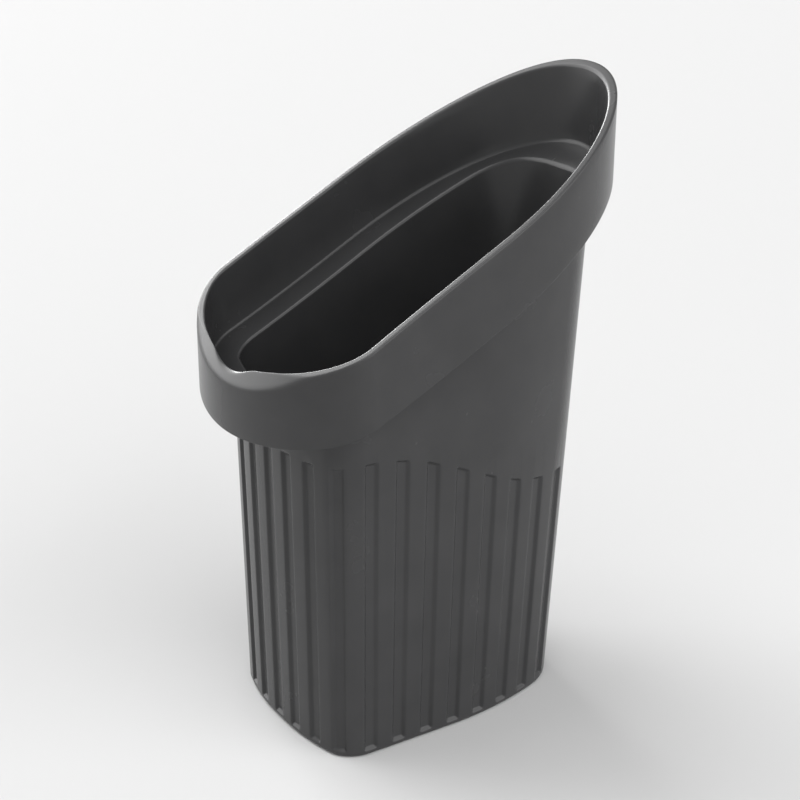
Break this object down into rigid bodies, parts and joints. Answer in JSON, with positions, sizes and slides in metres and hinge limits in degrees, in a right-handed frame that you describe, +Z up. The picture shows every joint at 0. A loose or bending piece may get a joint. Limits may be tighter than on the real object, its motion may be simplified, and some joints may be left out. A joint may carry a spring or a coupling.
{
  "type": "car trash bin",
  "caption": "One-piece slant-mouthed car trash bin: a tapered fluted bucket with a stepped collar round an oblique opening and a finger scoop at its low end.",
  "frame": {"origin": "on the ground plane under the flat floor, below the middle of the collar's width and length", "axes": "+Z up, -Y towards the low end of the mouth with the finger scoop, X across the width"},
  "size_m": [0.105, 0.148, 0.2256],
  "materials": {
    "plastic": "fine satin moulded surface, charcoal"
  },
  "bodies": {
    "root": {"bin": "plastic"}
  },
  "joints": []
}
